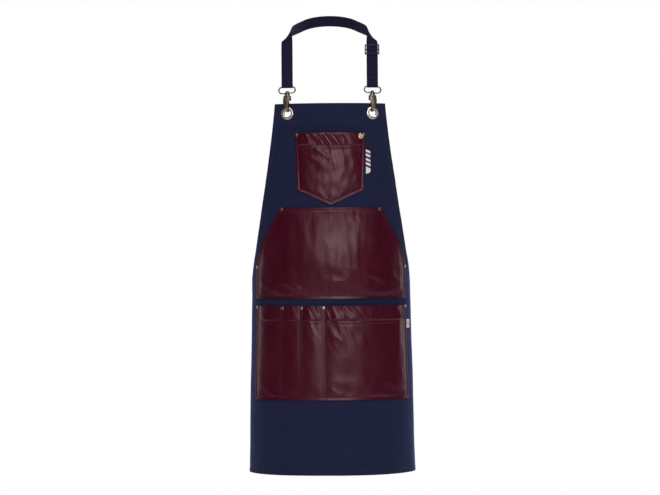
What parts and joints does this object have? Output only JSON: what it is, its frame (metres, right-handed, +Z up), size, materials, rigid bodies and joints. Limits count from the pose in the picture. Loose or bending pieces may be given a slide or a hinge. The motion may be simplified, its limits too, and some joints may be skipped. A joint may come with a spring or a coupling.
{
  "type": "bib apron with clip-on halter strap",
  "caption": "Long canvas bib apron with leatherette chest, hand and tool pockets, hung by snap hooks from an adjustable webbing halter.",
  "frame": {"origin": "on the axis of the nape arc of the halter strap, at the middle of the webbing width", "axes": "+Z up, -Y out of the front of the apron towards the viewer, +X to the viewer's right"},
  "size_m": [0.3738, 0.254, 1.0326],
  "materials": {
    "navy_canvas": "navy cotton canvas, matt, fine twill",
    "wine_leatherette": "wine red leatherette, satin gloss, fine wrinkles",
    "navy_webbing": "navy cotton webbing",
    "slider_paint": "dark navy painted steel",
    "gunmetal": "antique gunmetal plating",
    "spring_steel": "plain spring steel",
    "antique_brass": "antique brass, worn bright on the rim",
    "striped_ribbon": "woven ribbon with slanting stripes",
    "label_satin": "white woven satin"
  },
  "bodies": {
    "neck_strap": {"neck_strap": "navy_webbing", "left_strap_end": "navy_webbing", "right_strap_end": "navy_webbing", "strap_return": "navy_webbing"},
    "slider": {"strap_slider": "slider_paint"},
    "left_loop": {"left_wire_loop": "gunmetal"},
    "right_loop": {"right_wire_loop": "gunmetal"},
    "left_hook": {"left_swivel_rivet": "gunmetal", "left_hook_body": "gunmetal", "left_gate_pin": "spring_steel", "left_gate_spring": "spring_steel"},
    "right_hook": {"right_swivel_rivet": "gunmetal", "right_hook_body": "gunmetal", "right_gate_pin": "spring_steel", "right_gate_spring": "spring_steel"},
    "left_gate": {"left_gate": "gunmetal"},
    "right_gate": {"right_gate": "gunmetal"},
    "apron": {"left_eyelet": "antique_brass", "right_eyelet": "antique_brass", "left_eyelet_washer": "antique_brass", "right_eyelet_washer": "antique_brass", "body_panel": "navy_canvas", "top_facing": "navy_canvas", "left_armhole_tape": "navy_canvas", "right_armhole_tape": "navy_canvas", "chest_pocket": "wine_leatherette", "chest_rivets": "antique_brass", "chest_stud": "antique_brass", "striped_tab": "striped_ribbon", "hand_pocket": "wine_leatherette", "hand_rivets": "antique_brass", "left_mouth_tape": "navy_canvas", "right_mouth_tape": "navy_canvas", "tool_pocket": "wine_leatherette", "tool_rivets": "antique_brass", "side_label": "label_satin", "left_waist_tie": "navy_webbing", "right_waist_tie": "navy_webbing", "tie_knot": "navy_webbing"}
  },
  "joints": [
    {"name": "left_loop_swing", "type": "hinge", "parent": "neck_strap", "child": "left_loop", "pos_m": [-0.094, -0.09551, -0.1331], "axis": [1, 0, 0], "range_deg": [-15, 15]},
    {"name": "right_loop_swing", "type": "hinge", "parent": "neck_strap", "child": "right_loop", "pos_m": [0.094, -0.09551, -0.1331], "axis": [1, 0, 0], "range_deg": [-15, 15]},
    {"name": "left_hook_swivel", "type": "hinge", "parent": "left_loop", "child": "left_hook", "pos_m": [-0.094, -0.09551, -0.1469], "axis": [0, 0, 1], "range_deg": [-10, 10]},
    {"name": "right_hook_swivel", "type": "hinge", "parent": "right_loop", "child": "right_hook", "pos_m": [0.094, -0.09551, -0.1469], "axis": [0, 0, 1], "range_deg": [-10, 10]},
    {"name": "left_gate_hinge", "type": "hinge", "parent": "left_hook", "child": "left_gate", "pos_m": [-0.09178, -0.08929, -0.1605], "axis": [0.9416, -0.3366, 0], "range_deg": [-11, 0], "stiffness_Nm_per_rad": 0.02, "springref_deg": 17.19},
    {"name": "right_gate_hinge", "type": "hinge", "parent": "right_hook", "child": "right_gate", "pos_m": [0.09178, -0.08929, -0.1605], "axis": [0.9416, 0.3366, 0], "range_deg": [-11, 0], "stiffness_Nm_per_rad": 0.02, "springref_deg": 17.19},
    {"name": "apron_swing", "type": "hinge", "parent": "left_loop", "child": "apron", "pos_m": [-0.094, -0.09551, -0.1873], "axis": [1, 0, 0], "range_deg": [-7, 7]},
    {"name": "slider_slide", "type": "slide", "parent": "neck_strap", "child": "slider", "axis": [0, 0, 1], "range_m": [-0.04, 0], "deforming": ["strap_return"]}
  ],
  "couplings": [
    {"joint": "right_loop_swing", "follows": "left_loop_swing", "ratio": 1}
  ]
}
